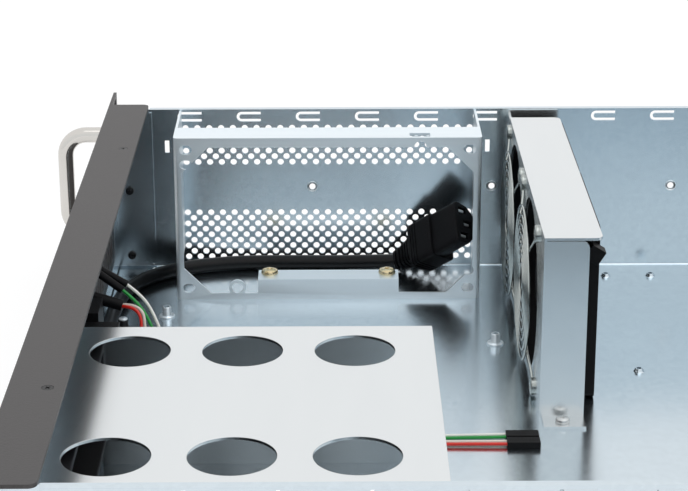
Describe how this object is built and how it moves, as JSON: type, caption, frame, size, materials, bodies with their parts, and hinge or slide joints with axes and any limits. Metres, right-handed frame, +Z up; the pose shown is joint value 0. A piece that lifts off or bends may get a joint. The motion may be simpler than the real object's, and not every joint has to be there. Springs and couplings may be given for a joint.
{
  "type": "empty rackmount server case",
  "caption": "Open rackmount server case of folded zinc sheet with a vented side wall, dark front panel with pull handles, drive cage, supply bracket and fan wall.",
  "frame": {"origin": "centre of the case's underside, half way along its folded walls", "axes": "+X to the right seen from the front, +Y from the front panel to the rear wall, +Z up"},
  "size_m": [0.4826, 0.5245, 0.0868],
  "materials": {
    "galvanised": "galvanised sheet, satin, bluish grey",
    "zinc": "zinc plated sheet, satin",
    "bright_zinc": "bright zinc plated sheet",
    "dark_paint": "fine textured dark grey powder coat",
    "chrome": "polished chrome",
    "screw_steel": "bright zinc plated screws",
    "black_screw": "black oxide screws",
    "yellow_zinc": "yellow zinc plated pan heads",
    "dark_plastic": "matt dark grey moulding",
    "black_plastic": "matt black moulding",
    "black_rubber": "soft black sheath",
    "green_lens": "clear tinted lens",
    "red_lens": "clear tinted lens",
    "white_wire": "wire sheath",
    "green_wire": "wire sheath",
    "red_wire": "wire sheath",
    "cream_wire": "wire sheath"
  },
  "bodies": {
    "case": {"chassis_tray": "galvanised", "front_frame": "zinc", "front_panel": "dark_paint", "handle_left": "chrome", "handle_right": "chrome", "handle_screws": "screw_steel", "panel_screws": "black_screw", "frame_screws": "black_screw", "drive_cage": "bright_zinc", "cage_screws": "screw_steel", "bay_cover": "dark_plastic", "psu_bracket": "zinc", "psu_support": "zinc", "psu_bracket_screws": "yellow_zinc", "floor_studs": "screw_steel", "fan_wall": "bright_zinc", "fan_wall_screws": "screw_steel", "fan_frame_left": "black_plastic", "fan_guard_left": "chrome", "fan_frame_right": "black_plastic", "fan_guard_right": "chrome", "fan_screws": "screw_steel", "power_switch": "black_plastic", "reset_switch": "black_plastic", "power_led": "green_lens", "disk_led": "red_lens", "usb_ports": "black_plastic", "rear_panel": "galvanised", "slot_covers": "zinc", "slot_screws": "screw_steel", "inlet_body": "black_plastic", "inlet_pins": "screw_steel", "inlet_screws": "screw_steel", "mains_plug": "black_rubber", "mains_cord": "black_rubber", "wire_white": "white_wire", "wire_green": "green_wire", "wire_red": "red_wire", "wire_cream": "cream_wire", "led_sleeves": "black_rubber", "header_plugs": "black_plastic", "fan_plug": "black_plastic"},
    "left_rotor": {"fan_rotor_left": "black_plastic"},
    "right_rotor": {"fan_rotor_right": "black_plastic"},
    "power_cap": {"power_button": "dark_plastic"},
    "reset_cap": {"reset_button": "dark_plastic"}
  },
  "joints": [
    {"name": "left_fan_spin", "type": "hinge", "parent": "case", "child": "left_rotor", "pos_m": [-0.1628, -0.0303, 0.0415], "axis": [0, 1, 0], "continuous": true},
    {"name": "right_fan_spin", "type": "hinge", "parent": "case", "child": "right_rotor", "pos_m": [-0.0808, -0.0303, 0.0415], "axis": [0, 1, 0], "continuous": true},
    {"name": "power_press", "type": "slide", "parent": "case", "child": "power_cap", "axis": [0, 1, 0], "range_m": [0, 0.0015], "stiffness_N_per_m": 400, "springref_m": -0.001},
    {"name": "reset_press", "type": "slide", "parent": "case", "child": "reset_cap", "axis": [0, 1, 0], "range_m": [0, 0.0015], "stiffness_N_per_m": 400, "springref_m": -0.001}
  ]
}
